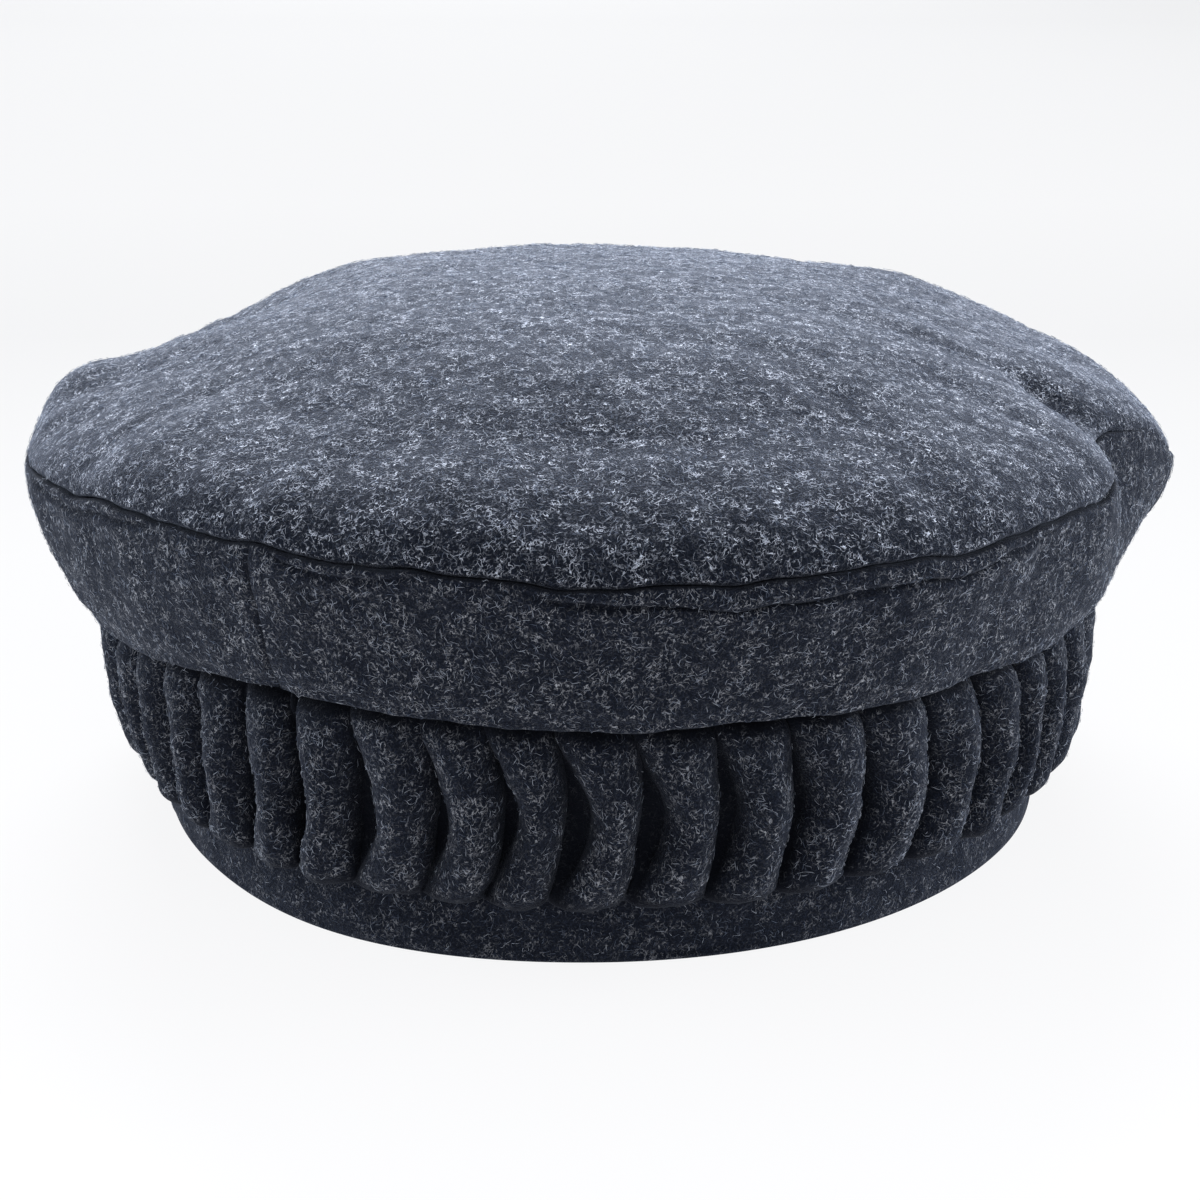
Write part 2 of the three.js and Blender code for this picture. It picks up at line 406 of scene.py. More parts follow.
# how far from the seam its painted shade spreads, where the fibres also lie flat
NAP_AND_SHADE_AT_SEAM = 0.28
CROWN_CALM_MIDDLE = 0.12  # the ripples fade out at the middle and at the rim
CROWN_CALM_RIM = (0.96, 0.995)
CROWN_RIPPLE = {"slow": 0.28, "soft": 0.1, "fine": 0.05}


def crown_foot(azimuth):
    return seam_height(azimuth) + SEWN_GAP * seam_depth(azimuth)


def crown_dent(x, y):
    lift = 0.0
    for row in CROWN_DENTS:
        dent = dict(zip(DENT_COLUMNS, row))
        turn = math.radians(dent["turn"])
        along = (x - dent["x"]) * math.cos(turn) + (y - dent["y"]) * math.sin(turn)
        across = (y - dent["y"]) * math.cos(turn) - (x - dent["x"]) * math.sin(turn)
        lift = lift + dent["lift"] * bump(along, dent["along"]) * bump(across, dent["across"])
    return lift


def crown_surface(share, azimuth, wall, notch=0.0):
    """The dome, from the rim (share 1) to the middle (share 0), one wall in from outside."""
    full = (1 - share**CROWN_FULLNESS) ** CROWN_SHOULDER
    radius = (seam_radius(azimuth) - wall) * share
    turn = np.radians(azimuth)
    dent = crown_dent(radius * np.sin(turn), -radius * np.cos(turn))
    foot = crown_foot(azimuth)
    into_roll = np.clip((share - 1 + CROWN_ROLL_SHARE) / CROWN_ROLL_SHARE, 0, 1)
    roll = CROWN_ROLL * np.sqrt(1 - into_roll**2)
    roll = roll * smooth_step(*ROLL_GROWS, share)
    dent = dent * np.minimum(1, DENT_GROWTH * full)
    height = foot + (CAP_HEIGHT - wall - foot) * full + dent + roll
    radius = radius - notch * seam_depth(azimuth) * np.exp(-(height - foot) / NOTCH_HEIGHT)
    return place(radius, height, azimuth)


def crown_outside(azimuth):
    rim = 1 - CROWN_ROLL_SHARE * (1 - np.sin(np.linspace(0, np.pi / 2, CROWN_RIM_ROWS)[::-1]))
    dome = np.linspace(0, 1 - CROWN_ROLL_SHARE, CROWN_ROWS)[::-1][1:]
    share = np.concatenate([rim, dome])[:, None]
    points = crown_surface(share, azimuth[None, :], 0, SEAM_NOTCH)
    calm = smooth_step(0, CROWN_CALM_MIDDLE, share) * (1 - smooth_step(*CROWN_CALM_RIM, share))
    return rippled(points, **CROWN_RIPPLE, share=calm)


def crown_nap_and_shade(points, azimuth, foot):
    """Painted shade in the seam's groove, where the cloth is drawn in and its fibres lie flat."""
    return 1 - seam_depth(azimuth) * bump(points[..., 2] - foot, NAP_AND_SHADE_AT_SEAM)


def crown_cloth(material):
    azimuth = even_azimuths(CROWN_COLUMNS)
    outside = crown_outside(azimuth)
    foot = crown_foot(azimuth)
    tuck = [place(seam_radius(azimuth) - out, foot + up, azimuth) for out, up in TUCK_ROWS]
    share = np.linspace(0, CROWN_INNER_RIM, CROWN_INNER_ROWS)[1:, None]
    inside = crown_surface(share, azimuth[None, :], CLOTH)
    rows = np.concatenate([inside, tuck, outside[:-1]])
    count = rows.shape[0] * rows.shape[1]
    centre = np.array([crown_surface(np.zeros(1), np.zeros(1), CLOTH)[0], outside[-1, 0]])
    points = np.concatenate([rows.reshape(-1, 3), centre])

    ring = np.arange(CROWN_COLUMNS)
    beside = (ring + 1) % CROWN_COLUMNS
    top_row = count - CROWN_COLUMNS
    below = np.stack([np.full(CROWN_COLUMNS, count), beside, ring], axis=1)
    above = np.stack([np.full(CROWN_COLUMNS, count + 1), top_row + ring, top_row + beside], axis=1)
    quads = ring_faces(len(rows), CROWN_COLUMNS, closed=False)
    nap_and_shade = np.ones(rows.shape[:2])
    nap_and_shade[CROWN_INNER_ROWS - 1:] = crown_nap_and_shade(rows[CROWN_INNER_ROWS - 1:], azimuth, foot)
    nap_and_shade = np.concatenate([nap_and_shade.ravel(), [1, 1]])
    thing = new_object("crown_cloth", to_metres(points), [quads, np.concatenate([below, above])],
                       material, nap_and_shade)
    dress(thing, "crown_top")
    return outside[:-1], crown_nap_and_shade(outside[:-1], azimuth, foot)


# Side strip

STRIP_COLUMNS = 520
JOIN = 328.8  # the azimuth where the strip's two ends are sewn together
JOIN_HALF_WIDTH = 0.3
JOIN_DEPTH = 0.4
JOIN_SHADE = 0.7
SHALLOW_OUT = 0.15  # how far the strip's top stands out where the seam is shallow
SHALLOW_FROM = 0.85  # the share of the strip's height above which it does
DEEP_IN_SEAM = -1.5  # rows that are farther in stay there
STRIP_STEPS = 7
STRIP_INNER_STEPS = 3
STRIP_CALM = (0.9, 0.985)
STRIP_RIPPLE = {"slow": 0.35, "soft": 0.16, "fine": 0.05}
# Painted shade in the creases and below the strip's lower edge, over these heights
CREASE_SHADE = 0.8
LIP_SHADE = 0.7
LIP_SHADE_BELOW = (-0.4, 1.2)
LIP_ROWS = 20  # the rows of the turned-in lip, on which no fibres lie

# Creases in the strip that follow the seam: from one azimuth to another, the greatest drop
# below the seam, and their depth.
STRIP_CREASES = [
    (-8, 50, 4.1, 0.75),
    (-72, -42, 2.6, 0.6),
    (-30, -14, 2.2, 0.5),
    (118, 165, 3.5, 0.9),
    (195, 250, 4, 0.9),
]
CREASE_WIDTH = 0.55
CREASE_BEND = 0.6  # the lower this is, the flatter the crease's middle
CREASE_GROWTH = 3  # how fast it deepens from its ends
CREASE_ROLL = 0.35  # the cloth beside a crease swells by this much, at these drops and widths
CREASE_ROLLS = [(1.6, 1.2), (-1.4, 1.0)]


def strip_crease(azimuth, below_seam):
    """How far the creases push the strip's outside in, at a height below the seam."""
    push = 0.0
    for start, end, drop, depth in STRIP_CREASES:
        along = ((azimuth - start) % 360) / (end - start)
        inside = np.where(along < 1, np.sin(np.pi * np.clip(along, 0, 1)), 0)
        away = below_seam - drop * inside**CREASE_BEND
        section = depth * bump(away, CREASE_WIDTH)
        for beside, width in CREASE_ROLLS:
            section = section - CREASE_ROLL * bump(away - beside, width)
        push = push + np.minimum(1, CREASE_GROWTH * inside) * section
    return push


def strip_azimuths():
    """Even columns, but with three close together at the join of the strip's ends, and which
    column is the join."""
    azimuth = even_azimuths(STRIP_COLUMNS)
    middle = round(JOIN * STRIP_COLUMNS / 360)
    azimuth[middle - 1:middle + 2] = JOIN + JOIN_HALF_WIDTH * np.arange(-1, 2)
    return azimuth, middle


def strip_points(section, creased=False):
    azimuth, middle = strip_azimuths()
    azimuth = azimuth[None, :]
    share, out, up = (section[:, k][:, None] for k in range(3))
    near_top = smooth_step(SHALLOW_FROM, 1, share) * (out > DEEP_IN_SEAM)
    out = lerp(out, SHALLOW_OUT, (1 - seam_depth(azimuth)) * near_top)
    radius = lerp(edge_radius(azimuth), seam_radius(azimuth), share) + out
    radius = radius + belly(azimuth) * np.sin(np.pi * share)
    height = lerp(edge_height(azimuth), seam_height(azimuth), share) + up
    if creased:
        radius = radius - strip_crease(azimuth, seam_height(azimuth) - height)
        radius[:, middle] -= JOIN_DEPTH
    return place(radius, height, azimuth)


def strip_cloth(material):
    section = smooth_rows(STRIP_OUTSIDE, STRIP_STEPS)
    calm = 1 - smooth_step(*STRIP_CALM, section[:, 0][:, None])
    outside = rippled(strip_points(section, creased=True), **STRIP_RIPPLE, share=calm)
    inside = strip_points(smooth_rows(STRIP_INSIDE, STRIP_INNER_STEPS))
    rows = np.concatenate([outside, inside])
    azimuth, middle = strip_azimuths()
    below_seam = seam_height(azimuth) - rows[..., 2]
    below_edge = edge_height(azimuth) - rows[..., 2]
    crease_shade_share = np.clip(strip_crease(azimuth, below_seam), 0, 1)
    # Painted shade, which also lays the fibres flat: in the seam's groove, in the creases, under
    # the turned-in lip and at the join
    nap_and_shade = 1 - seam_depth(azimuth) * bump(below_seam, NAP_AND_SHADE_AT_SEAM)
    nap_and_shade = nap_and_shade * (1 - CREASE_SHADE * crease_shade_share)
    nap_and_shade = nap_and_shade * (1 - LIP_SHADE * smooth_step(*LIP_SHADE_BELOW, below_edge))
    nap_and_shade[:, middle] *= 1 - JOIN_SHADE
    nap_and_shade[len(outside):] = 1
    faces = ring_faces(len(rows), STRIP_COLUMNS, closed=True)
    thing = new_object("side_cloth", to_metres(rows.reshape(-1, 3)), [faces], material, nap_and_shade)
    dress(thing, "crown_side")
    return outside[LIP_ROWS:], nap_and_shade[LIP_ROWS:len(outside)]


# Pleats

PLEAT_POINTS = 20
PLEAT_STEPS = 5
PLEAT_INNER_STEPS = 3
PLEAT_ROUNDNESS = 2.0
PLEAT_FLANK = 0.65
PLEAT_RIPPLE = {"slow": 0.3, "soft": 0.18, "fine": 0.06}
VALLEY_LIFT = 1.5  # the valleys rise this much at the foot, over this height
VALLEY_LIFT_HEIGHT = 5

# Where painted shade darkens the pleats and their nap fades: the rise out of a valley, and the
# heights at the foot by the band and under the strip's lip
VALLEY_NAP_AND_SHADE = (0, 0.7)
FOOT_NAP_AND_SHADE = (BAND_HEIGHT - 0.5, BAND_HEIGHT + 2.5)
TOP_NAP_AND_SHADE = (46.5, 49.5)


def all_pleats():
    """Each pleat's middle, push and gap, all the way round."""
    first, last = FRONT_PLEATS[0][0] + 360, FRONT_PLEATS[-1][0]
    others = []
    for i in range(OTHER_PLEATS):
        middle = lerp(last, first, (i + 1) / (OTHER_PLEATS + 1))
        others.append((middle + rng.uniform(*OTHER_SPREAD), OTHER_PUSH + rng.uniform(*PUSH_SPREAD),
                       OTHER_GAP + rng.uniform(*GAP_SPREAD)))
    return np.array(FRONT_PLEATS + others, float)


def pleat_grid(pleats, rows):
    """The pleated wall as a grid: rows down it, and PLEAT_POINTS columns for each pleat."""
    count = len(pleats)
    middle, push, gap = pleats.T
    before = middle - (np.roll(middle, 1) - 360 * (np.arange(count) == 0))
    after = np.roll(before, -1)
    gap_before = np.roll(gap, 1)
    height, reach, depth, lack, opening = (rows[:, k][:, None, None] for k in range(5))

    u = np.linspace(-1, 1, PLEAT_POINTS)[1:]
    x = np.concatenate([[-1.0], np.sin(np.pi / 2 * u)])[None, None, :]
    half_before = (before / 2)[None, :, None]
    half_after = (after / 2)[None, :, None]
    millimetre = np.degrees(1 / reach)
    width_before = 1 - opening * gap_before[None, :, None] / 2 * millimetre / half_before
    width_after = 1 - opening * gap[None, :, None] / 2 * millimetre / half_after
    width = np.where(x < 0, width_before, width_after)
    rib = np.ones_like(x)
    rib[..., 0] = 0
    rise = np.clip(1 - np.abs(x) ** PLEAT_ROUNDNESS, 0, 1) ** PLEAT_FLANK * rib
    side = np.where(x < 0, half_before, half_after) * np.where(rib > 0, width, 1)
    azimuth = middle[None, :, None] + x * side - push[None, :, None] * lack * millimetre
    flat = (len(rows), count * PLEAT_POINTS)
    return (azimuth.reshape(flat), np.broadcast_to(rise, azimuth.shape).reshape(flat),
            reach[..., 0], depth[..., 0], height[..., 0])


def pleat_points(pleats, rows, lift_valleys=0.0):
    azimuth, rise, reach, depth, height = pleat_grid(pleats, rows)
    # Painted shade, with the fibres laid flat, in the valleys, at the foot by the band and under
    # the strip's lip
    nap_and_shade = smooth_step(*VALLEY_NAP_AND_SHADE, rise) * smooth_step(*FOOT_NAP_AND_SHADE, height)
    nap_and_shade = nap_and_shade * (1 - smooth_step(*TOP_NAP_AND_SHADE, height))
    up_share = np.maximum(0, height - BAND_HEIGHT) / (EDGE_HEIGHT - BAND_HEIGHT)
    pushed = lerp(head_push(azimuth), edge_radius(azimuth) - EDGE_RADIUS, up_share)
    radius = reach - depth * (1 - rise) + pushed
    height = height + (edge_height(azimuth) - EDGE_HEIGHT) * up_share
    above_band = height - BAND_HEIGHT
    height = height + lift_valleys * (1 - rise) * bump(above_band, VALLEY_LIFT_HEIGHT)
    return place(radius, height, azimuth), nap_and_shade


def pleat_cloth(material):
    pleats = all_pleats()
    outside, nap_and_shade = pleat_points(pleats, smooth_rows(PLEAT_OUTSIDE, PLEAT_STEPS), VALLEY_LIFT)
    inside, inner_nap_and_shade = pleat_points(pleats, smooth_rows(PLEAT_INSIDE, PLEAT_INNER_STEPS))
    outside = rippled(outside, **PLEAT_RIPPLE)
    rows = np.concatenate([outside, inside])
    faces = ring_faces(len(rows), rows.shape[1], closed=True)
    all_nap_and_shade = np.concatenate([nap_and_shade, np.ones_like(inner_nap_and_shade)])
    thing = new_object("pleat_cloth", to_metres(rows.reshape(-1, 3)), [faces], material, all_nap_and_shade)
    dress(thing, "pleated_band")
    return outside, nap_and_shade


# Head band

BAND_COLUMNS = 480
BAND_STEPS = 4
BAND_RIPPLE = {"slow": 0.3, "soft": 0.2, "fine": 0.05}
BAND_FLAT_BELOW = 1.0  # the fold is flat where it lies on the table
BAND_SHADE = 0.8
BAND_SHADE_AT = (BAND_HEIGHT - 4, BAND_HEIGHT - 0.5)
BAND_FIBRE_ROWS = slice(10, 30)  # the outside, from a little above the fold


def band_cloth(material):
    section = smooth_rows(BAND_SECTION + BAND_SECTION[:1], BAND_STEPS)[:-1]
    azimuth = even_azimuths(BAND_COLUMNS)[None, :]
    out, height = section[:, 0][:, None], section[:, 1][:, None]
    points = place(HEAD_RADIUS + out + head_push(azimuth), np.clip(height, 0, None), azimuth)
    wavy = rippled(points, **BAND_RIPPLE)
    rows = np.where(height[..., None] > BAND_FLAT_BELOW, wavy, points)
    # Painted shade at the band's top, under the pleats' feet
    nap_and_shade = 1 - BAND_SHADE * smooth_step(*BAND_SHADE_AT, height)
    nap_and_shade = np.broadcast_to(nap_and_shade, rows.shape[:2])
    faces = ring_faces(len(rows), BAND_COLUMNS, closed=True)
    thing = new_object("band_cloth", to_metres(rows.reshape(-1, 3)), [faces], material, nap_and_shade)
    dress(thing, "head_band")
    return rows[BAND_FIBRE_ROWS], nap_and_shade[BAND_FIBRE_ROWS]


# Wool fibres

# The fibres gather where this ripple is high
CLUSTER_SIZE = 4
FIBRE_CLUSTER = 0.7

# A fibre's middling size in millimetres, and the shares of it that the fibres run between
FIBRE_LENGTH = 1.5
LENGTH_SHARES = (0.4, 1.4)
FIBRE_THICKNESS = 0.075
THICKNESS_SHARES = (0.7, 1.3)
FIBRE_LIFT = 0.18
LIFT_SHARES = (0.2, 1.8)
TIP_SHARES = (0, 1.5)
TAIL_LIFT = 0.02
FIBRE_CURL = 0.2
FIBRE_BENDS = (-0.22, 0.2)  # where along a fibre its two rings are

# The faces of a fibre, whose points are its tail, two rings of three and its tip
SPINDLE_POINTS = 8
SPINDLE = np.array([
    (0, 2, 1), (0, 3, 2), (0, 1, 3), (7, 4, 5), (7, 5, 6), (7, 6, 4),
    (1, 2, 5), (1, 5, 4), (2, 3, 6), (2, 6, 5), (3, 1, 4), (3, 4, 6),
])

# How many fibres of each tone lie on each piece of cloth
FIBRES = [
    ("crown", "pale", 14000),
    ("crown", "grey", 9000),
    ("side", "pale", 6000),
    ("side", "grey", 4000),
    ("pleat", "pale", 6000),
    ("pleat", "grey", 3500),
    ("band", "pale", 500),
    ("band", "grey", 1500),
]
cluster_ripple = Ripple(CLUSTER_SIZE)


def fibre_piece(name, surface, nap_and_shade, count, material):
    """Short curled wool fibres lying on a grid's outside, each a closed spindle of 12 faces."""
    up = np.diff(surface, axis=0)
    beside = np.roll(surface, -1, axis=1) - surface
    area = np.linalg.norm(np.cross(up, beside[:-1]), axis=-1) * nap_and_shade[:-1] ** 2
    area = (area * np.exp(FIBRE_CLUSTER * cluster_ripple(surface[:-1]))).ravel()
    cell = rng.choice(area.size, size=count, p=area / area.sum())
    columns = surface.shape[1]
    r, c = cell // columns, cell % columns
    a, b = rng.random((2, count, 1))
    root = surface[r, c] + a * up[r, c] + b * beside[r, c]
    normal = np.cross(beside[r, c], up[r, c])
    normal /= np.maximum(np.linalg.norm(normal, axis=1, keepdims=True), 1e-9)

    any_way = rng.normal(size=(count, 3))
    along = any_way - (any_way * normal).sum(1, keepdims=True) * normal
    along /= np.linalg.norm(along, axis=1, keepdims=True)
    across = np.cross(normal, along)
    long = FIBRE_LENGTH * rng.uniform(*LENGTH_SHARES, (count, 1))
    thick = FIBRE_THICKNESS * rng.uniform(*THICKNESS_SHARES, (count, 1))
    rise = FIBRE_LIFT * rng.uniform(*LIFT_SHARES, (count, 1))
    curl = long * rng.normal(0, FIBRE_CURL, (2, count, 1))
    curl[1] = lerp(curl[0], curl[1], rng.random((count, 1)))

    rings = []
    for step, side in zip(FIBRE_BENDS, curl):
        middle = root + along * long * step + normal * rise + across * side
        for k in range(3):
            turn = 2 * np.pi * k / 3
            rings.append(middle + thick / 2 * (across * math.cos(turn) + normal * math.sin(turn)))
    tail = root - along * long / 2 + normal * TAIL_LIFT
    tip = root + along * long / 2 + normal * rise * rng.uniform(*TIP_SHARES, (count, 1))
    points = np.stack([tail, *rings, tip], axis=1).reshape(-1, 3)
    faces = (np.arange(count)[:, None, None] * SPINDLE_POINTS + SPINDLE).reshape(-1, 3)
    thing = new_object(name, to_metres(points), [faces], material)
    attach(thing, "root")


# Materials

# The colour towards which painted shade darkens the cloth
PAINTED_SHADE_BLACK = (0.006, 0.007, 0.011, 1)
DARK = (0.006, 0.008, 0.0145, 1)
DEEP = (0.022, 0.029, 0.050, 1)
PALE = (0.81, 0.86, 1.0, 1)
GREY = (0.52, 0.54, 0.60, 1)
SHEEN_ROUGHNESS = 0.31
SHEEN_TINT = (0.68, 0.77, 1.0, 1)
PALE_FIBRE = (0.475, 0.52, 0.62, 1)
GREY_FIBRE = (0.14, 0.17, 0.24, 1)

# Each cloth's look: how much of it the wisps cover, their colour, and the sheen of its nap
CLOTHS = {
    "crown_wool": (1.25, PALE, 0.3),
    "side_wool": (1.0, GREY, 0.12),
    "pleat_wool": (0.9, GREY, 0.1),
    "band_wool": (0.5, GREY, 0.1),
}

# Layers of wisps: cell size in millimetres, shift in metres, half width in millimetres,
# and how much they curl
WISPS = [
    (0.95, (0.0, 0.0, 0.0), 0.105, 1.2),
    (1.2, (0.031, 0.017, 0.053), 0.11, 1.5),
    (0.78, (0.071, 0.043, 0.011), 0.09, 1.0),
    (1.05, (0.013, 0.091, 0.029), 0.1, 1.3),
]
WANDER = 0.9  # how far the wisps stray, and over what size
WANDER_SIZE = 0.7
WISP_SLANT = (0.36, 0.48, 0.8)
CLUMP_SIZE = 3.0
CLUMP_EDGE = (0.43, 0.62)
CLUMP_BARE = 0.12  # how many of the wisps are left between the clumps
FUZZ_SIZE = 0.35
FUZZ_EDGE = (0.4, 0.75)
FUZZ_HEIGHT = 0.15
FLAT_CLOTH = 0.2  # how much of the wisps shows where no nap stands, and how much of the colour is left there through the painted shade
LIGHT_LEFT_IN_SHADE = 0.4
FUZZ_STRENGTH = 0.7
WOOL_ROUGHNESS = 0.95
FIBRE_ROUGHNESS = 0.85


class Nodes:
    """A short way to make and join the nodes of one material."""

    def __init__(self, name):
        self.material = bpy.data.materials.new(name)
        self.material.use_nodes = True
        self.tree = self.material.node_tree
        self.shader = self.tree.nodes["Principled BSDF"]

    def add(self, kind, inputs=None, **settings):
        node = self.tree.nodes.new(kind)
        for key, value in settings.items():
            setattr(node, key, value)
        for key, value in (inputs or {}).items():
            if isinstance(value, bpy.types.NodeSocket):
                self.tree.links.new(value, node.inputs[key])
            else:
                node.inputs[key].default_value = value
        return node

    def math(self, operation, first, second=None, clamp=False):
        inputs = {0: first}
        if second is not None:
            inputs[1] = second
        return self.add("ShaderNodeMath", inputs, operation=operation, use_clamp=clamp).outputs[0]

    def at_least(self, floor, value):
        """A value from 0 to 1, raised so that it starts at floor."""
        inputs = {0: value, 1: 1 - floor, 2: floor}
        return self.add("ShaderNodeMath", inputs, operation="MULTIPLY_ADD").outputs[0]

    def noise(self, point, size, detail=2.0, roughness=0.5):
        """Noise whose grains are about the given size in millimetres."""
        return self.add("ShaderNodeTexNoise", {
            "Vector": point, "Scale": 1 / (size * MM), "Detail": detail, "Roughness": roughness})

    def ramp(self, value, low, high):
        """0 below low, 1 above high, and smooth between them."""
        return self.add("ShaderNodeMapRange", {"Value": value, "From Min": low, "From Max": high},
                        interpolation_type="SMOOTHSTEP").outputs["Result"]

    def mix(self, share, first, second):
        node = self.add("ShaderNodeMix", data_type="RGBA")
        for key, value in (("Factor", share), ("A", first), ("B", second)):
            socket = next(s for s in node.inputs if s.name == key and s.enabled)
            if isinstance(value, bpy.types.NodeSocket):
                self.tree.links.new(value, socket)
            else:
                socket.default_value = value
        return next(s for s in node.outputs if s.enabled)

    def wisps(self, point, size, shift, width, bend):
        """Thin curled strokes, one for each cell of a scattered grid, all in their own direction.

        A stroke is where the cloth cuts a bent sheet through the cell's middle.
        """
        moved = self.vector("ADD", point, shift)
        cells = self.add("ShaderNodeTexVoronoi", {"Vector": moved, "Scale": 1 / (size * MM)})
        off = self.vector("SUBTRACT", moved, cells.outputs["Position"])
        centred = self.vector("SUBTRACT", cells.outputs["Color"], (0.5, 0.5, 0.5))
        facing = self.vector("NORMALIZE", centred)
        run = self.vector("NORMALIZE", self.vector("CROSS_PRODUCT", facing, WISP_SLANT))
        away = self.vector("DOT_PRODUCT", off, facing)
        along = self.vector("DOT_PRODUCT", off, run)
        bow = self.math("MULTIPLY", self.math("MULTIPLY", along, along), bend / (size * MM))
        away = self.math("ABSOLUTE", self.math("SUBTRACT", away, bow))
        line = self.math("SUBTRACT", 1.0, self.ramp(away, 0.0, width * MM))
        tone = self.add("ShaderNodeSeparateColor", {0: cells.outputs["Color"]}).outputs[1]
        return self.math("MULTIPLY", line, self.math("MULTIPLY", tone, tone))

    def vector(self, operation, first, second=None):
        node = self.add("ShaderNodeVectorMath", {0: first}, operation=operation)
        if isinstance(second, bpy.types.NodeSocket):
            self.tree.links.new(second, node.inputs[1])
        elif second is not None:
            node.inputs[1].default_value = second
        return node.outputs["Value" if operation == "DOT_PRODUCT" else "Vector"]


def wool(name, cover, pale, sheen):
    """Heathered, brushed wool: a dark ground, and clumps of pale curled wisps over it, darkened by
    painted shade where the cloth's attribute is low.
    """
    n = Nodes(name)
    point = n.add("ShaderNodeTexCoord").outputs["Object"]
    # The cloth's attribute holds both how raised its fibres are and how little painted shade lies
    # on it
    raised_and_lit = n.add("ShaderNodeAttribute", attribute_name="nap_and_shade").outputs["Fac"]
    standing_and_lit = n.at_least(FLAT_CLOTH, raised_and_lit)
    wander = n.noise(point, WANDER_SIZE, detail=1.0).outputs["Color"]
    centred = n.vector("SUBTRACT", wander, (0.5, 0.5, 0.5))
    warp = n.add("ShaderNodeVectorMath", {0: centred, "Scale": WANDER * MM}, operation="SCALE")
    warped = n.vector("ADD", point, warp.outputs[0])

    wisps = 0.0
    for size, shift, width, bend in WISPS:
        layer = n.wisps(warped, size, shift, width, bend)
        wisps = n.math("MAXIMUM", wisps, layer)
    clumps = n.noise(point, CLUMP_SIZE, detail=4.0, roughness=0.7).outputs["Fac"]
    clumps = n.ramp(clumps, *CLUMP_EDGE)
    fuzz = n.noise(point, FUZZ_SIZE, detail=2.0, roughness=0.7).outputs["Fac"]
    fuzz = n.ramp(fuzz, *FUZZ_EDGE)

    # The ground is darker where the attribute is low, painted shade as well as flat nap
    ground = n.mix(n.math("MULTIPLY", fuzz, standing_and_lit), DARK, DEEP)
    share = n.at_least(CLUMP_BARE, clumps)
    mask = n.math("MULTIPLY", n.math("MULTIPLY", wisps, share), cover)
    mask = n.math("MULTIPLY", mask, standing_and_lit, clamp=True)
    cloth = n.mix(mask, ground, pale)
    # Painted shade: the cloth darkens towards black where the attribute is low, in seams, creases,
    # fold valleys and under the lip
    shaded = n.mix(n.at_least(LIGHT_LEFT_IN_SHADE, raised_and_lit), PAINTED_SHADE_BLACK, cloth)
    n.tree.links.new(shaded, n.shader.inputs["Base Color"])

    bumps = n.add("ShaderNodeBump", {"Height": fuzz, "Strength": FUZZ_STRENGTH,
                                       "Distance": FUZZ_HEIGHT * MM})
    n.tree.links.new(bumps.outputs["Normal"], n.shader.inputs["Normal"])
    n.shader.inputs["Roughness"].default_value = WOOL_ROUGHNESS
    n.shader.inputs["Specular IOR Level"].default_value = 0.1
    n.shader.inputs["Sheen Weight"].default_value = sheen
    n.shader.inputs["Sheen Roughness"].default_value = SHEEN_ROUGHNESS
    n.shader.inputs["Sheen Tint"].default_value = SHEEN_TINT
    return n.material


def plain_fibre(name, colour):
    n = Nodes(name)
    n.shader.inputs["Base Color"].default_value = colour
    n.shader.inputs["Roughness"].default_value = FIBRE_ROUGHNESS
    n.shader.inputs["Specular IOR Level"].default_value = 0.2
    return n.material


# Camera, floor and light

# Where the camera stands from the cap's axis, in millimetres, and how many degrees it looks down
CAMERA_BACK = 450
CAMERA_HEIGHT = 200
CAMERA_RIGHT = 1.2
CAMERA_DOWN = 20.1
FOCAL_PIXELS = 2190
PHOTO_PIXELS = 1200
SENSOR = 36

# The floor's painted glow fades from near to far, by Y in metres, and more under the lamp's glare
FLOOR_SIDE = 6
FLOOR_COLOUR = (0.06, 0.06, 0.06, 1)
GLOW_COLOUR = (0.99, 0.99, 1.0, 1)
FLOOR_ROUGHNESS = 0.9
GLOW_NEAR = 0.95
GLOW_NEAR_AT = -0.2
GLOW_FAR = 0.745
GLOW_FAR_AT = 0.4
LAMP_GLARE = 0.11
LAMP_GLARE_FROM = 0.7
LAMP_GLARE_TO = 1.7

ROOM_COLOUR = (0.94, 0.97, 1.0, 1)
ROOM_FRONT = 0.155
ROOM_FRONT_AT = -0.6
ROOM_BACK = 2.3
ROOM_BACK_AT = 0.9

# Soft lamps that face the middle of the cap: name, spot and size in metres, power and colour
LAMPS = [
    ("behind", (-0.2, 2.1, 1.43), 1.8, 150, (0.95, 0.97, 1)),
    ("far_left", (-1.25, 0.2, 0.4), 0.6, 8, (0.85, 0.93, 1)),
    ("far_right", (1.25, 0.2, 0.4), 0.6, 13, (0.9, 0.95, 1)),
]
LAMPS_FACE = (0, 0, 0.05)


def make_camera():
    data = bpy.data.cameras.new("camera")
    data.sensor_width = SENSOR
    data.lens = SENSOR * FOCAL_PIXELS / PHOTO_PIXELS
    data.clip_start = 0.01
    camera = bpy.data.objects.new("camera", data)
    camera.location = to_metres((CAMERA_RIGHT, -CAMERA_BACK, CAMERA_HEIGHT))
    camera.rotation_euler = (math.radians(90 - CAMERA_DOWN), 0, 0)
    bpy.context.scene.collection.objects.link(camera)
    bpy.context.scene.camera = camera


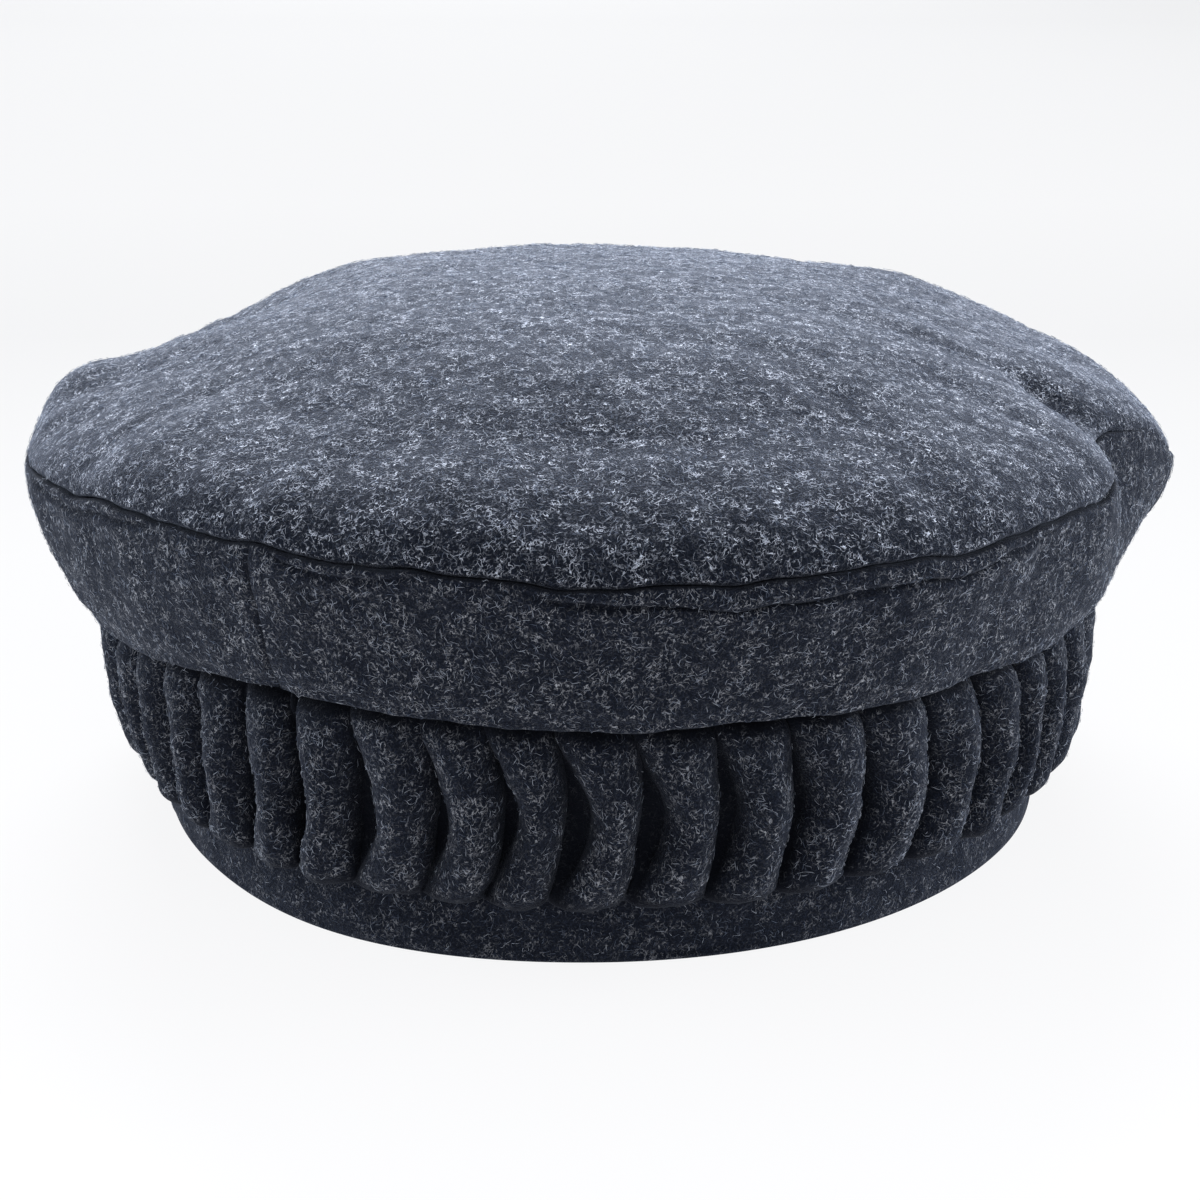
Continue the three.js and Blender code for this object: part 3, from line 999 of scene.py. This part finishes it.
def make_floor():
    """A pale floor lit mostly by a painted glow of its own, so that shadows on it nearly vanish."""
    n = Nodes("floor")
    point = n.add("ShaderNodeTexCoord").outputs["Object"]
    back = n.add("ShaderNodeSeparateXYZ", {0: point}).outputs["Y"]
    glow = n.add("ShaderNodeMapRange", {
        "Value": back, "From Min": GLOW_NEAR_AT, "From Max": GLOW_FAR_AT,
        "To Min": GLOW_NEAR, "To Max": GLOW_FAR}).outputs["Result"]
    glare = n.add("ShaderNodeMapRange", {
        "Value": back, "From Min": LAMP_GLARE_FROM, "From Max": LAMP_GLARE_TO,
        "To Max": LAMP_GLARE}).outputs["Result"]
    n.tree.links.new(n.math("SUBTRACT", glow, glare), n.shader.inputs["Emission Strength"])
    n.shader.inputs["Emission Color"].default_value = GLOW_COLOUR
    n.shader.inputs["Base Color"].default_value = FLOOR_COLOUR
    n.shader.inputs["Roughness"].default_value = FLOOR_ROUGHNESS
    n.shader.inputs["Specular IOR Level"].default_value = 0.0
    corners = [(x * FLOOR_SIDE, y * FLOOR_SIDE, 0) for x, y in ((-1, -1), (1, -1), (1, 1), (-1, 1))]
    floor = new_object("floor", corners, [np.array([(0, 1, 2, 3)])], n.material, smooth=False)


def area_light(name, spot, size, power, colour):
    data = bpy.data.lights.new(name, "AREA")
    data.shape = "DISK"
    data.size = size
    data.energy = power
    data.color = colour
    lamp = bpy.data.objects.new(name, data)
    lamp.location = spot
    toward = np.array(LAMPS_FACE) - np.array(spot)
    flat = math.hypot(toward[0], toward[1])
    lamp.rotation_euler = (math.atan2(flat, -toward[2]), 0, math.atan2(-toward[0], toward[1]))
    bpy.context.scene.collection.objects.link(lamp)


def make_light():
    """A pale room that is brightest behind the cap, and the lamps."""
    world = bpy.data.worlds.new("studio")
    world.use_nodes = True
    tree = world.node_tree
    background = tree.nodes["Background"]
    direction = tree.nodes.new("ShaderNodeTexCoord")
    split = tree.nodes.new("ShaderNodeSeparateXYZ")
    tree.links.new(direction.outputs["Generated"], split.inputs[0])
    strength = tree.nodes.new("ShaderNodeMapRange")
    for key, value in (("From Min", ROOM_FRONT_AT), ("From Max", ROOM_BACK_AT),
                       ("To Min", ROOM_FRONT), ("To Max", ROOM_BACK)):
        strength.inputs[key].default_value = value
    tree.links.new(split.outputs["Y"], strength.inputs["Value"])
    tree.links.new(strength.outputs["Result"], background.inputs["Strength"])
    background.inputs["Color"].default_value = ROOM_COLOUR
    bpy.context.scene.world = world
    for lamp in LAMPS:
        area_light(*lamp)
    bpy.context.scene.view_settings.view_transform = "Standard"


make_camera()
make_floor()
make_light()

cloths = {name: wool(name, *look) for name, look in CLOTHS.items()}
surfaces = {
    "crown": crown_cloth(cloths["crown_wool"]),
    "side": strip_cloth(cloths["side_wool"]),
    "pleat": pleat_cloth(cloths["pleat_wool"]),
    "band": band_cloth(cloths["band_wool"]),
}
fibre_looks = {
    "pale": plain_fibre("pale_fibre", PALE_FIBRE),
    "grey": plain_fibre("grey_fibre", GREY_FIBRE),
}
for part, tone, count in FIBRES:
    surface, nap_and_shade = surfaces[part]
    name = f"{part}_fibres_{tone}"
    fibre_piece(name, surface, nap_and_shade, count, fibre_looks[tone])
